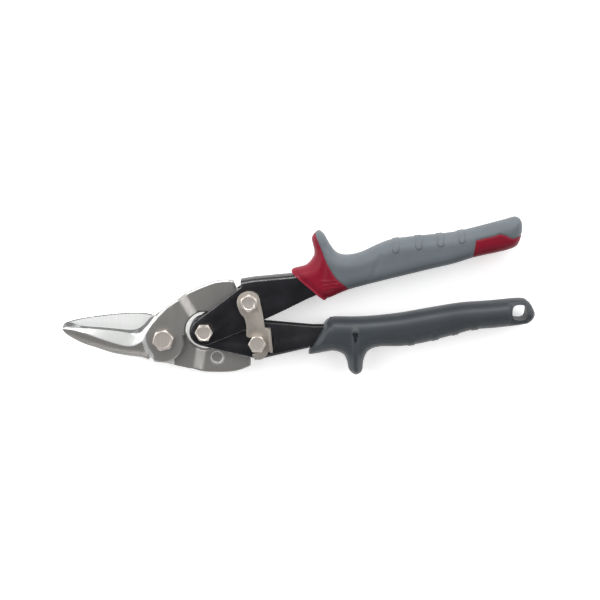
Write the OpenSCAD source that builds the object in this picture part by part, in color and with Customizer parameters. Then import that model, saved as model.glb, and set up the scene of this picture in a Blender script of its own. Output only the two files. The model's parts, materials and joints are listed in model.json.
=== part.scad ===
// Aviation snips: compound-lever sheet-metal shears with a thumb latch.
// The snips lie flat. +Z is up out of the surface, the jaws point to -X,
// the grips to +X, and the upper handle is on the +Y side. Millimetres.

/* [Linkage] */
// Main pivot to each link bolt
blade_link = 49.9; // [49:0.1:51]
// Handle pivot to each link bolt
handle_link = 28.7; // [28.2:0.1:29.2]
// Half the angle between the two blade links when the jaws are shut
half_spread = 12.8; // [12.4:0.1:13]
// Direction of the line from the main pivot to the handle pivot
axis_tilt = 11.3; // [11:0.1:11.6]

/* [Blades] */
// Thickness of each forged blade
blade_t = 4.55; // [4.2:0.05:4.6]
// Gap between each blade and the shear plane
shear_gap = 0.05; // [0.03:0.01:0.1]
// Thickness of each blade's tail, between the handle cheeks
tail_t = 4.4; // [4:0.1:4.6]
// Radius of the boss round the main pivot
boss_r = 11.5; // [11:0.1:12]

/* [Handles] */
// Thickness of the pressed steel channels
steel_t = 2; // [1.8:0.1:2]
// Half the inside width of the lower handle's channel
inner_half = 2.6; // [2.6:0.05:2.7]
// Half the inside width of the upper handle's channel
outer_half = 4.95; // [4.9:0.05:5]
// Half thickness of both grips
grip_half = 10.5; // [10:0.1:11]

/* [Fasteners] */
// Shank radius of the main pivot bolt
pivot_r = 3; // [2.8:0.1:3]
// Shank radius of the three handle bolts
link_r = 2.5; // [2.3:0.1:2.5]
// Width across flats of the main pivot bolt's head
pivot_af = 10; // [9.5:0.1:10]
// Width across flats of the handle bolts' heads
link_af = 8.2; // [7.8:0.1:8.4]
// Height of the bolt heads
head_h = 3.2; // [3:0.1:3.4]
// Running clearance between a shank and its bore
run_gap = 0.05; // [0.02:0.01:0.08]
// Extra clearance at the upper link bolt, where the linkage is left open
open_gap = 0.4; // [0.3:0.05:0.5]

/* [Latch] */
// Thickness of the latch plate
latch_t = 1.6; // [1.4:0.1:1.6]
// Height of the bent thumb tab above the plate
tab_h = 3.4; // [3:0.1:3.6]

/* [Hidden] */
$fn = 64;
// Small gap between parts that are bolted or moulded together
ease = 0.05;
// Overlap that makes a head and its shank one solid
join = 0.1;
// Length of a cut that runs right through
through = 40;
// Where the blade steps down from the boss to the tail, and which way that step faces
boss_jog = 17.7;
tail_jog = 23.2;
tail_turn = 31.4 - axis_tilt;
boss_mid = [-0.6, -0.9];
// Rounded inner corner of each blade, round the handles' eyes
throat_r = 10.1;
// Square-bottomed notch between the boss and the jaw
notch_mid = [-19.4, -7];
notch_size = [12, 24];
notch_turn = 12;
// How far the jaw's outer face lies below the boss face
jaw_step = 0.2;
// Round stamped recess on the rear blade's tail
stamp_mid = [28.3, -9.9];
stamp_r = 3;
stamp_depth = 0.3;
tail_half = tail_t / 2;
inner_out = inner_half + steel_t;
outer_out = outer_half + steel_t;
washer_t = 0.5;
latch_z = outer_out + ease + washer_t + ease;
latch_top = latch_z + latch_t;
latch_washer_r = 5;
spacer_r = 5.2;
sleeve_r = 3.6;
collar_r = 3.6;
nut_h = grip_half - outer_out - ease;
lower_nut_h = 4;
pivot_nut_h = 4;
pivot_washer_t = 0.8;
pivot_washer_r = 6;
pivot_seat = -blade_t - ease - pivot_washer_t;
// Bolt heads: dish depth and corner chamfer, and the main bolt's taller head, turned as it was tightened
dish_depth = 0.6;
head_chamfer = 0.55;
pivot_head_h = head_h + 0.3;
pivot_head_turn = 12.5;
// How far two of the shanks stop above the grips' backs
pivot_end = 1;
lower_bolt_end = 0.4;
// Torsion spring
coil_r = 5.2;
coil_inner_r = 4;
coil_h = 4;
wire_w = 1.2;
leg_offset = 4.1;
leg_end = 37.2;
// Hang hole in the lower grip
hole_mid = [188.3, 14.7];
hole_size = 8;
hole_corner = 1.7;
// Where the steel channels end inside the grips
channel_end = 166;
// Middle of the whole part, seen from above
box_mid = [71.4, 22.7];

// Pivot positions, all worked out from the linkage
function polar(r, a) = [r * cos(a), r * sin(a)];
upper_pin = polar(blade_link, axis_tilt + half_spread);
lower_pin = polar(blade_link, axis_tilt - half_spread);
fold_half = asin(blade_link * sin(half_spread) / handle_link);
handle_reach = blade_link * cos(half_spread) - handle_link * cos(fold_half);
handle_pin = polar(handle_reach, axis_tilt);

// A smooth closed outline through the given points
function spline_point(a, b, c, d, t) =
    0.5 * (2 * b + (c - a) * t + (2 * a - 5 * b + 4 * c - d) * t * t + (3 * b - a - 3 * c + d) * t * t * t);
function smooth(p, steps) = [
    for (i = [0 : len(p) - 1]) for (k = [0 : steps - 1])
        spline_point(p[(i + len(p) - 1) % len(p)], p[i], p[(i + 1) % len(p)], p[(i + 2) % len(p)], k / steps)
];
// An arc from angle a to angle b about a centre
function arc(c, r, a, b, n) = [for (k = [0 : n]) c + polar(r, a + (b - a) * k / n)];
// Removes everything above the plane that holds the line a-b at height z and climbs to its left
module slope_above(a, b, z, climb) {
    d = b - a;
    translate([a[0], a[1], z])
        rotate([0, 0, atan2(d[1], d[0])])
        rotate([climb, 0, 0])
        translate([-100, -100, 0])
        cube([200, 200, 50]);
}

// A bolt head, with a shallow dish in its end
module hex_head(af, h, turn) {
    difference() {
        intersection() {
            rotate([0, 0, turn]) cylinder(r = af / sqrt(3), h = h, $fn = 6);
            rotate_extrude($fn = 48)
                polygon([[0, 0], [af * 0.6, 0], [af * 0.6, h - head_chamfer], [af * 0.5, h], [0, h]]);
        }
        translate([0, 0, h - dish_depth]) cylinder(r1 = af * 0.3, r2 = af * 0.36, h = 1, $fn = 48);
    }
}

module hex_nut(af, h, bore) {
    difference() {
        cylinder(r = af / sqrt(3), h = h, $fn = 6);
        translate([0, 0, -1]) cylinder(r = bore, h = h + 2);
    }
}

// Side profile of a blade: full height at the boss, then jogged down to the middle plane
module blade_layers() {
    rotate([0, 0, axis_tilt + tail_turn])
        rotate([90, 0, 0])
        linear_extrude(200, center = true)
        polygon([
            [-100, shear_gap], [boss_jog, shear_gap], [tail_jog, -tail_half], [100, -tail_half],
            [100, tail_half], [tail_jog, tail_half], [boss_jog, blade_t], [-100, blade_t]
        ]);
}

// Plan of the boss and tail that both blades share, drawn for the front blade
module tail_plan() {
    back = smooth([
        [-5, 12.2], [0.1, 16], [6.4, 20.4], [14.1, 25.2], [25.3, 29.9], [31, 31.1], [36.4, 31.1],
        [37.4, 30.3], [38.1, 28.5], [39.1, 26.8], [42, 26.5], [46, 27.1], [50.6, 24.9], [52.3, 20.2],
        [50.6, 15.6], [46, 13.5], [38, 12.4], [27, 13.9], [21.6, 14.4]
    ], 5);
    throat = arc(handle_pin, throat_r, 95, 190, 16);
    difference() {
        union() {
            polygon(concat([for (k = [0 : 90]) back[k]], throat, [[11, 2], [0, -3], [-9, 3], [-8, 6]]));
            translate(boss_mid) circle(r = boss_r, $fn = 96);
        }
        translate(notch_mid) rotate([0, 0, notch_turn]) square(notch_size, center = true);
    }
}

module blade_body() {
    intersection() {
        slab(10) tail_plan();
        blade_layers();
    }
}

module blade_bores(pin, link_bore) {
    cylinder(r = pivot_r + run_gap, h = through, center = true);
    translate(pin) cylinder(r = link_bore, h = through, center = true);
}

// Turns a front-blade shape over, about the snips' own axis, into the rear blade
module flip() {
    rotate([0, 0, axis_tilt]) rotate([180, 0, 0]) rotate([0, 0, -axis_tilt]) children();
}

module front_jaw() {
    edge = smooth([
        [-7, 11.4], [-10.6, 7.2], [-13.6, 5.2], [-17.2, 4.5], [-22.8, 4.9], [-30, 5.6], [-37.6, 6.1], [-43.6, 6.8],
        [-49.4, 8.5], [-52.8, 8], [-54, 5], [-52.8, 3.2], [-50.3, 1.2], [-43.7, -2.4], [-35.2, -5.3],
        [-27.1, -7.9], [-19, -9.4], [-12.3, -10.2], [-8.6, -11.3], [-7.2, -10.4], [-4, -9], [-1, 0]
    ], 4);
    difference() {
        translate([0, 0, shear_gap]) linear_extrude(blade_t - shear_gap - jaw_step) polygon(edge);
        // Ground bevel along the cutting edge
        slope_above([-17, 4.6], [-52, 8.2], 0.5, 56);
        // Rounded-down lower flank
        slope_above([-54, 2.6], [-26, -8.6], 1, 36);
        slope_above([-30, -8], [-7, -11.3], 1.2, 32);
        // Taper to the point
        slope_above([-54, -6], [-54, 12], 1.8, -4.6);
    }
}

module rear_jaw() {
    edge = smooth([
        [-5, 12.2], [-8.5, 13.3], [-14.6, 13.7], [-22.2, 13.4], [-29.8, 12.7], [-38.5, 11.5], [-45.1, 10.4],
        [-50.2, 9], [-52.8, 7.9], [-53.8, 5.4], [-51, 4.6], [-38, 3.6], [-26, 2.2], [-14, 0.8], [-9, -1], [0, 0]
    ], 4);
    difference() {
        translate([0, 0, jaw_step - blade_t]) linear_extrude(blade_t - shear_gap - jaw_step) polygon(edge);
        // Relief behind the cutting edge, the top flank and the taper, all on the back
        mirror([0, 0, 1]) slope_above([-52, 4.4], [-9, -0.5], 0.5, 56);
        mirror([0, 0, 1]) slope_above([-5, 13.4], [-54, 10.4], 1.4, 32);
        mirror([0, 0, 1]) slope_above([-54, -6], [-54, 12], 1.8, -4.6);
    }
}

module front_blade() {
    color([0.62, 0.61, 0.6]) difference() {
        union() {
            blade_body();
            front_jaw();
        }
        blade_bores(upper_pin, link_r + open_gap);
    }
}

module rear_blade() {
    color([0.6, 0.59, 0.58]) difference() {
        union() {
            flip() blade_body();
            rear_jaw();
        }
        blade_bores(lower_pin, link_r + run_gap);
        // Round stamped recess on the tail
        translate([stamp_mid[0], stamp_mid[1], tail_half - stamp_depth]) cylinder(r = stamp_r, h = 2);
    }
}

module pivot_bolt() {
    color([0.66, 0.63, 0.6]) union() {
        translate([0, 0, blade_t]) hex_head(pivot_af, pivot_head_h, pivot_head_turn);
        translate([0, 0, pivot_end - grip_half])
            cylinder(r = pivot_r, h = blade_t + grip_half - pivot_end + join);
    }
}

module pivot_washer() {
    color([0.6, 0.6, 0.6]) translate([0, 0, pivot_seat]) difference() {
        cylinder(r = pivot_washer_r, h = pivot_washer_t);
        translate([0, 0, -1]) cylinder(r = pivot_r + ease, h = 3);
    }
}

module pivot_nut() {
    color([0.66, 0.63, 0.6]) translate([0, 0, pivot_seat - pivot_nut_h])
        hex_nut(pivot_af, pivot_nut_h, pivot_r);
}

// Steel channel outlines. The back is the web's outer face, the front is the cheeks' free edge
upper_back = [[41.2, 31.4], [48, 32.5], [55.4, 33.2], [68.7, 34.4], [84, 38.6], [100, 41.3], [116, 44.4],
    [134, 47.4], [152, 50.8], [channel_end, 54.2]];
upper_front = [[channel_end, 47], [150, 43.4], [132, 40], [112, 35.6], [96, 30.6], [82.2, 24.6], [75.5, 21.7],
    [65.4, 16.6], [54.3, 11.4], [43.9, 5.7]];
lower_back = [[channel_end, 8.6], [150, 4.2], [134, 0.6], [116, -0.4], [98, -2.4], [84, -3.6], [77.5, -4.6],
    [62, -8.2], [48.8, -11.3]];
lower_front = [[36, 10.6], [54, 9.1], [68.7, 7.8], [79, 6.9], [86, 6.9], [100, 7.4], [116, 9], [134, 11.6],
    [150, 14.8], [channel_end, 15.8]];
upper_eye_r = 7.1;
lower_eye_r = 7.9;

module upper_side() {
    polygon(concat([[41.2, 28.1]], upper_back, upper_front, arc(handle_pin, upper_eye_r, 292, 127, 22)));
}

module lower_side() {
    polygon(concat(lower_front, lower_back, [[47.6, -9.9]], arc(handle_pin, lower_eye_r, -103, -295, 22)));
}

// The open inside of each channel, in front of the web's inner face
module upper_inside() {
    polygon(concat([[0, 50], [upper_back[0][0], 50]], [for (p = upper_back) p - [0, steel_t]],
        [[200, 40], [200, -40], [0, -40]]));
}

module lower_inside() {
    polygon(concat([[0, 60], [200, 60], [200, 10]], [for (p = lower_back) p + [0, steel_t]],
        [[lower_back[8][0], -40], [0, -40]]));
}

module slab(half) {
    translate([0, 0, -half]) linear_extrude(2 * half) children();
}

module upper_handle() {
    color([0.12, 0.12, 0.13]) difference() {
        slab(outer_out) upper_side();
        slab(outer_half) upper_inside();
        translate(handle_pin) cylinder(r = link_r + run_gap, h = through, center = true);
        translate(upper_pin) cylinder(r = link_r + run_gap, h = through, center = true);
    }
}

module lower_handle() {
    color([0.13, 0.13, 0.14]) difference() {
        slab(inner_out) lower_side();
        slab(inner_half) lower_inside();
        translate(handle_pin) cylinder(r = link_r + run_gap, h = through, center = true);
        translate(lower_pin) cylinder(r = link_r + run_gap, h = through, center = true);
    }
}

// A bolt through the handles: head at the given height, plain end level with the grips' backs
module long_bolt(pin, seat, turn) {
    translate(pin) {
        translate([0, 0, seat]) hex_head(link_af, head_h, turn);
        translate([0, 0, -grip_half]) cylinder(r = link_r, h = grip_half + seat + join);
    }
}

module end_nut(pin) {
    translate([pin[0], pin[1], -grip_half]) hex_nut(link_af, nut_h, link_r);
}

module handle_bolt() {
    color([0.66, 0.63, 0.6]) long_bolt(handle_pin, outer_out, 0);
}

module handle_nut() {
    color([0.66, 0.63, 0.6]) end_nut(handle_pin);
}

module handle_sleeve() {
    color([0.5, 0.5, 0.5]) translate(handle_pin) difference() {
        cylinder(r = sleeve_r, h = 2 * inner_half - 2 * ease, center = true);
        cylinder(r = link_r + ease, h = through, center = true);
    }
}

module upper_link_bolt() {
    color([0.66, 0.63, 0.6]) long_bolt(upper_pin, latch_top + ease, 30);
}

module upper_link_nut() {
    color([0.66, 0.63, 0.6]) end_nut(upper_pin);
}

module upper_link_spacers() {
    color([0.5, 0.5, 0.5]) for (side = [-1, 1])
        translate([upper_pin[0], upper_pin[1], side * (outer_half + tail_half + 2 * ease) / 2]) difference() {
            cylinder(r = spacer_r, h = outer_half - tail_half - 2 * ease, center = true);
            cylinder(r = link_r, h = through, center = true);
        }
}

module lower_link_bolt() {
    color([0.66, 0.63, 0.6]) translate(lower_pin) {
        translate([0, 0, latch_top + ease]) hex_head(link_af, head_h, 0);
        // Collar that clamps the cheek, below the plane of the latch
        translate([0, 0, inner_out]) cylinder(r = collar_r, h = outer_out - inner_out + washer_t);
        translate([0, 0, lower_bolt_end - grip_half])
            cylinder(r = link_r, h = grip_half - lower_bolt_end + latch_top + ease + join);
    }
}

module lower_link_nut() {
    color([0.66, 0.63, 0.6]) translate([lower_pin[0], lower_pin[1], -inner_out - ease - lower_nut_h])
        hex_nut(link_af, lower_nut_h, link_r);
}

module latch() {
    plate = smooth([
        upper_pin + [-6.3, 0], upper_pin + [-4.6, -5.2], [43.2, 12.2], [44.2, 7.6], [44.2, 3.2], [45.4, 1.9],
        [48.2, 2.3], [50.6, 2.2], [53.1, 0.6], [53.9, -2], [53, -4.7], [50.6, -6.3], [47.6, -6.9],
        [47.6, -8.4], [49.6, -9.9], [52.6, -9.6], [55, -7.4], [55.9, -4.6], [56, -1], [55.4, 3.4],
        [53.9, 7.2], [53.1, 12.6], upper_pin + [6.2, -1.2], upper_pin + [4.7, 4.2], upper_pin + [0, 6.2],
        upper_pin + [-4.7, 4.2]
    ], 5);
    color([0.7, 0.67, 0.62]) difference() {
        union() {
            translate([0, 0, latch_z]) linear_extrude(latch_t) polygon(plate);
            // Thumb tab, bent up along the right-hand edge
            translate([0, 0, latch_z]) linear_extrude(latch_t)
                polygon([[54, 7], [56.6, 7], [57.9, -5.6], [54.9, -5.6]]);
            translate([0, 0, latch_z]) linear_extrude(latch_t + tab_h)
                polygon([[55.4, 6.9], [56.9, 6.9], [58.1, -5.6], [56.6, -5.6]]);
        }
        translate(upper_pin) cylinder(r = link_r + run_gap, h = through, center = true);
    }
}

module latch_washer() {
    color([0.55, 0.55, 0.55]) translate([upper_pin[0], upper_pin[1], outer_out + ease]) difference() {
        cylinder(r = latch_washer_r, h = washer_t);
        translate([0, 0, -1]) cylinder(r = link_r + run_gap, h = 3);
    }
}

// One straight leg of the spring, parallel to the snips' axis; side is 1 towards the upper handle
module leg_bar(start, side) {
    rotate([0, 0, axis_tilt])
        translate([start, side * leg_offset - wire_w / 2, -wire_w / 2])
        cube([leg_end - start, wire_w, wire_w]);
}

// The torsion spring's closed coils round the handle sleeve, with the leg that bears on the rear blade
module spring_coil() {
    color([0.55, 0.56, 0.58]) {
        translate(handle_pin) difference() {
            cylinder(r = coil_r, h = coil_h, center = true);
            cylinder(r = coil_inner_r, h = through, center = true);
        }
        difference() {
            leg_bar(handle_reach, -1);
            translate(handle_pin) cylinder(r = (coil_r + coil_inner_r) / 2, h = through, center = true);
        }
    }
}

// The leg that bears on the front blade and travels with the upper handle
module spring_leg() {
    color([0.55, 0.56, 0.58]) leg_bar(handle_reach + 6, 1);
}

// Outlines of the grips, anticlockwise
upper_grip_line = smooth([
    [78.7, 54.2], [79.2, 50.4], [80, 46.9], [79.4, 43.6], [75.6, 39.4], [68, 36.9], [72, 32.3], [78, 27.2],
    [83.6, 22.4], [86.8, 21.6], [97.8, 26.2], [110, 29.6], [124.8, 33.3], [141.6, 37.4], [153.4, 40.2],
    [164.3, 43.6], [175.3, 46], [182, 47.7], [186.4, 49.8], [188.5, 54.3], [189.2, 59.6], [188.4, 63.4],
    [185.6, 65], [180, 63.5], [167.2, 60.1], [153.5, 56.9], [136.4, 55], [122.2, 53.3], [114.3, 50.7],
    [104.6, 46.2], [96.9, 44.7], [91.6, 46.2], [88, 50.8], [85, 56], [81.8, 57.8]
], 4);
lower_grip_line = smooth([
    [76.9, -7.6], [80.2, -8.1], [86, -7], [90.6, -6.5], [95.4, -8.4], [97.4, -12.2], [98.6, -17],
    [102, -19.4], [105.4, -17.4], [106.3, -11.4], [108.8, -6.4], [114.6, -4.2], [125.6, -4], [136.3, -2.5],
    [145.6, -0.2], [155.9, 2.6], [164.5, 4.9], [176, 5.9], [189.5, 7.5], [194.2, 8.9], [196.8, 12.6],
    [195.8, 16.4], [193, 20.2], [188.4, 21.6], [173.1, 20.2], [158.3, 19.1], [143.5, 16.8], [125.5, 13.6],
    [109.7, 11.9], [99.5, 11.5], [90, 11.5], [87.4, 10.4], [82, 1.4]
], 4);

module upper_grip_solid() {
    difference() {
        slab(grip_half) polygon(upper_grip_line);
        slab(outer_out + ease) polygon(concat([for (p = upper_back) p + [0, ease]],
            [[channel_end + 0.1, 54.2], [channel_end + 0.1, 47]], [for (p = upper_front) p - [0, ease]],
            [[30, 10], [30, 31]]));
    }
}

module guard_region() {
    polygon([[60, 70], [80.4, 70], [80.9, 55], [83.3, 49], [85.9, 42.3], [88.6, 37.4], [91.3, 33.3], [96.1, 29],
        [97.9, 27.4], [100, 20], [60, 10]]);
}

module insert_region() {
    polygon([[163.2, 30], [163.2, 45], [164.5, 53.6], [174.2, 55.8], [176.7, 56.8], [179.4, 56.1],
        [183.6, 54.1], [186, 54.8], [194, 57.4], [200, 30]]);
}

module upper_grip() {
    color([0.43, 0.46, 0.48]) difference() {
        upper_grip_solid();
        slab(through / 2) guard_region();
        difference() {
            slab(through / 2) insert_region();
            slab(outer_out + 1) square([channel_end + 0.6, 100]);
        }
    }
}

module upper_grip_guard() {
    color([0.53, 0.09, 0.19]) intersection() {
        upper_grip_solid();
        slab(through / 2) guard_region();
    }
}

module upper_grip_insert() {
    color([0.53, 0.09, 0.19]) intersection() {
        upper_grip_solid();
        difference() {
            slab(through / 2) insert_region();
            slab(outer_out + 1) square([channel_end + 0.6, 100]);
        }
    }
}

module lower_grip() {
    color([0.24, 0.26, 0.28]) difference() {
        slab(grip_half) polygon(lower_grip_line);
        slab(inner_out + ease) polygon(concat([[30, 11]], [for (p = lower_front) p + [0, ease]],
            [[channel_end + 0.1, 15.8], [channel_end + 0.1, 8.6]], [for (p = lower_back) p - [0, ease]],
            [[30, -11.3]]));
        // Square hang hole with rounded corners
        translate(hole_mid) slab(through / 2) union() {
            flat = hole_size - 2 * hole_corner;
            square([hole_size, flat], center = true);
            square([flat, hole_size], center = true);
            for (x = [-flat, flat] / 2) for (y = [-flat, flat] / 2)
                translate([x, y]) circle(r = hole_corner, $fn = 32);
        }
    }
}

module placed() {
    translate([-box_mid[0], -box_mid[1], grip_half]) children();
}

placed() front_blade();
placed() rear_blade();
placed() pivot_bolt();
placed() pivot_nut();
placed() pivot_washer();
placed() upper_handle();
placed() lower_handle();
placed() handle_bolt();
placed() handle_nut();
placed() handle_sleeve();
placed() upper_link_bolt();
placed() upper_link_nut();
placed() upper_link_spacers();
placed() lower_link_bolt();
placed() lower_link_nut();
placed() latch();
placed() latch_washer();
placed() spring_coil();
placed() spring_leg();
placed() upper_grip();
placed() upper_grip_guard();
placed() upper_grip_insert();
placed() lower_grip();
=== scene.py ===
import json
import math

import bmesh
import bpy
import numpy as np
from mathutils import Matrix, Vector, geometry


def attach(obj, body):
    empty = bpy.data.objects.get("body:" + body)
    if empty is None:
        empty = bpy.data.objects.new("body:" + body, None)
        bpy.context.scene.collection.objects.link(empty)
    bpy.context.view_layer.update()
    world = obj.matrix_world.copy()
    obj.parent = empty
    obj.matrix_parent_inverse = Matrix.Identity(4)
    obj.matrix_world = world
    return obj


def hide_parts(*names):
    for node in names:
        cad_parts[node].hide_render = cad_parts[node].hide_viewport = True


MM = 0.001
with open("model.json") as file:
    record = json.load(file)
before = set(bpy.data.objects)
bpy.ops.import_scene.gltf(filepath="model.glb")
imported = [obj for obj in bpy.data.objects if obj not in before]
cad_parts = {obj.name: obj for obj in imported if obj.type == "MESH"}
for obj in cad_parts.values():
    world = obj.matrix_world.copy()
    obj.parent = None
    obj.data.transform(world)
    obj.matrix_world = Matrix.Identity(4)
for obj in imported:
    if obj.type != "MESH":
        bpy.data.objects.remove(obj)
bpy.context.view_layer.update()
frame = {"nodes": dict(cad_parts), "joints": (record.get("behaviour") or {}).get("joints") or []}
SCENE = bpy.context.scene


# ---------------------------------------------------------------- places from the frame
def joint_place(name):
    joint = next(j for j in frame["joints"] if j["name"] == name)
    return np.array(joint["pos_m"]) / MM


PIVOT = joint_place("jaw_pivot")  # main pivot, on the shear plane
EYE = (joint_place("handle_hinge") - PIVOT)[:2]  # handle pivot, from the main pivot
LOWER_PIN = (joint_place("lower_link_pivot") - PIVOT)[:2]
UPPER_PIN = (joint_place("latch_release") - PIVOT)[:2]
AXIS = math.atan2(EYE[1], EYE[0])  # the snips' own axis
GRIP_HALF = PIVOT[2]  # the grips' backs lie on the surface


def place(x, y, z):
    """A point given in millimetres from the main pivot, in the frame's metres."""
    return (PIVOT[0] + x) * MM, (PIVOT[1] + y) * MM, (PIVOT[2] + z) * MM


# ---------------------------------------------------------------- outlines, in millimetres
def curve(points, steps=6):
    """An open smooth stretch through the points, without its last point."""
    p = np.array(points, float)
    p = np.vstack([2 * p[0] - p[1], p, 2 * p[-1] - p[-2]])
    out = []
    for a, b, c, d in zip(p[:-3], p[1:-2], p[2:-1], p[3:]):
        for t in np.arange(steps) / steps:
            square, cube = 2 * a - 5 * b + 4 * c - d, 3 * b - a - 3 * c + d
            out.append(0.5 * (2 * b + (c - a) * t + square * t**2 + cube * t**3))
    return np.array(out)


def closed(points, steps=6):
    """A closed smooth outline through the points."""
    p = list(points)
    whole = curve(p[-2:] + p + p[:2], steps)
    return whole[2 * steps : (len(p) + 2) * steps]


def arc(centre, radius, start, end, count=24):
    """Points on an arc, from the start angle to the end angle in degrees."""
    angle = np.radians(np.linspace(start, end, count))
    return np.array(centre) + radius * np.column_stack([np.cos(angle), np.sin(angle)])


def turned_over(points):
    """The outline turned over about the snips' axis: a front-blade stretch becomes a rear-blade one."""
    p = np.array(points, float)
    c, s = math.cos(2 * AXIS), math.sin(2 * AXIS)
    return np.column_stack([p[:, 0] * c + p[:, 1] * s, p[:, 0] * s - p[:, 1] * c])


def resample(loop, step):
    """The closed loop with no stretch longer than step."""
    out = []
    for a, b in zip(loop, np.roll(loop, -1, axis=0)):
        n = max(1, int(math.ceil(np.linalg.norm(b - a) / step)))
        out += [a + (b - a) * k / n for k in range(n)]
    return np.array(out)


def resample_open(line, step):
    """The open line with no stretch longer than step."""
    line = np.array(line, float)
    out = []
    for a, b in zip(line[:-1], line[1:]):
        n = max(1, int(math.ceil(np.linalg.norm(b - a) / step)))
        out += [a + (b - a) * k / n for k in range(n)]
    return np.array(out + [line[-1]])


def distance(points, line, shut=True):
    """Distance from each point to a line of points."""
    a = np.array(line, float)
    b = np.roll(a, -1, axis=0)
    if not shut:
        a, b = a[:-1], a[1:]
    p = np.asarray(points, float)
    best = np.full(len(p), 1e9)
    for q, r in zip(a, b):
        d = r - q
        t = np.clip(((p - q) @ d) / max(d @ d, 1e-12), 0, 1)
        best = np.minimum(best, np.hypot(*(p - q - t[:, None] * d).T))
    return best


def inside(points, loop):
    """Which of the points lie inside the closed loop."""
    p = np.asarray(points, float)
    hit = np.zeros(len(p), bool)
    for (ax, ay), (bx, by) in zip(loop, np.roll(loop, -1, axis=0)):
        if ay == by:
            continue
        crosses = (ay > p[:, 1]) != (by > p[:, 1])
        hit ^= crosses & (p[:, 0] < (bx - ax) * (p[:, 1] - ay) / (by - ay) + ax)
    return hit


def ease(value, low, high):
    """0 at low and 1 at high, with a soft start and end."""
    t = np.clip((value - low) / (high - low), 0, 1)
    return t * t * (3 - 2 * t)


def along(x, points):
    """y at x on a line of points that runs in +x."""
    p = np.array(points)
    return np.interp(x, p[:, 0], p[:, 1])


# ---------------------------------------------------------------- meshes
def new_object(name, mesh, body, nodes, materials):
    """A visible piece that rides on a body and stands in for those CAD nodes."""
    obj = bpy.data.objects.new(name, mesh)
    SCENE.collection.objects.link(obj)
    for m in materials:
        obj.data.materials.append(m)
    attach(obj, body)
    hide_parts(*nodes)
    return obj


def finish_mesh(name, bm, sharp_angle=34):
    """Welds the shape and shades it smooth, apart from edges sharper than the angle in degrees."""
    bmesh.ops.remove_doubles(bm, verts=bm.verts, dist=2e-6)
    bmesh.ops.dissolve_degenerate(bm, edges=bm.edges, dist=1e-6)
    bmesh.ops.recalc_face_normals(bm, faces=bm.faces)
    for e in bm.edges:
        e.smooth = len(e.link_faces) == 2 and e.calc_face_angle(0) < math.radians(sharp_angle)
    for f in bm.faces:
        f.smooth = True
    mesh = bpy.data.meshes.new(name)
    bm.to_mesh(mesh)
    bm.free()
    return mesh


def plate(loop, top, bottom, holes=(), grid=1.0, rings=(0.25, 0.6), edge_step=0.9, paint=None, lines=()):
    """A closed shape over the outline: top and bottom give heights from (x, y). rings are extra rows of points
    that far inside the edge, grid is the spacing of the points between them, lines are creases that the mesh
    follows, and paint gives each face's material number from its middle."""
    loops = [resample(np.array(loop), edge_step)] + [resample(np.array(h), edge_step) for h in holes]
    edge = np.vstack(loops)
    extra = []
    for line in loops:
        out = np.roll(line, -1, axis=0) - np.roll(line, 1, axis=0)
        normal = np.column_stack([-out[:, 1], out[:, 0]]) / np.linalg.norm(out, axis=1)[:, None]
        for r in rings:
            for side in (1, -1):
                extra.append((line + side * normal * r, r))
    low, high = edge.min(0), edge.max(0)
    xs, ys = np.meshgrid(np.arange(low[0], high[0], grid), np.arange(low[1], high[1], grid * 0.87))
    xs = xs + (np.arange(len(xs)) % 2)[:, None] * grid / 2
    field = np.column_stack([xs.ravel(), ys.ravel()])
    keep = [edge]
    for pts, least in extra + [(field, max(rings, default=0) + grid * 0.45)]:
        near = np.min([distance(pts, l) for l in loops], axis=0)
        ok = inside(pts, loops[0]) & (near > least * 0.93)
        for h in loops[1:]:
            ok &= ~inside(pts, h)
        keep.append(pts[ok])
    creases = [resample_open(line, edge_step) for line in lines]
    for k in range(1, len(keep)):
        ok = np.ones(len(keep[k]), bool)
        for line in creases:
            ok &= distance(keep[k], line, False) > 0.3 * edge_step
        keep[k] = keep[k][ok]
    points = np.vstack(keep + creases)
    sides, start = [], 0
    for line in loops:
        n = len(line)
        sides += [(start + i, start + (i + 1) % n) for i in range(n)]
        start += n
    start = sum(len(k) for k in keep)
    for line in creases:
        sides += [(start + i, start + i + 1) for i in range(len(line) - 1)]
        start += len(line)
    verts, _, faces, *_ = geometry.delaunay_2d_cdt([Vector(p) for p in points], sides, [], 0, 1e-5)
    flat = np.array([(v.x, v.y) for v in verts])
    faces = np.array([f for f in faces if len(f) == 3])
    middle = flat[faces].mean(axis=1)
    ok = inside(middle, loops[0])
    for h in loops[1:]:
        ok &= ~inside(middle, h)
    faces = faces[ok]
    up, down = top(flat[:, 0], flat[:, 1]), bottom(flat[:, 0], flat[:, 1])
    bm = bmesh.new()
    uv = [bm.verts.new(place(x, y, z)) for (x, y), z in zip(flat, up)]
    dv = [bm.verts.new(place(x, y, z)) for (x, y), z in zip(flat, down)]
    used = {}
    for a, b, c in faces:
        bm.faces.new((uv[a], uv[b], uv[c]))
        bm.faces.new((dv[c], dv[b], dv[a]))
        for e in ((a, b), (b, c), (c, a)):
            used[e] = True
    for a, b in used:
        if (b, a) not in used:
            bm.faces.new((uv[a], dv[a], dv[b], uv[b]))
    bmesh.ops.delete(bm, geom=[v for v in bm.verts if not v.link_faces], context="VERTS")
    if paint is not None:
        bm.normal_update()
        for f in bm.faces:
            c = f.calc_center_median() / MM
            here = (c.x - PIVOT[0], c.y - PIVOT[1], c.z - PIVOT[2])
            f.material_index = paint(*here, f.normal.normalized())
    return bm


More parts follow.
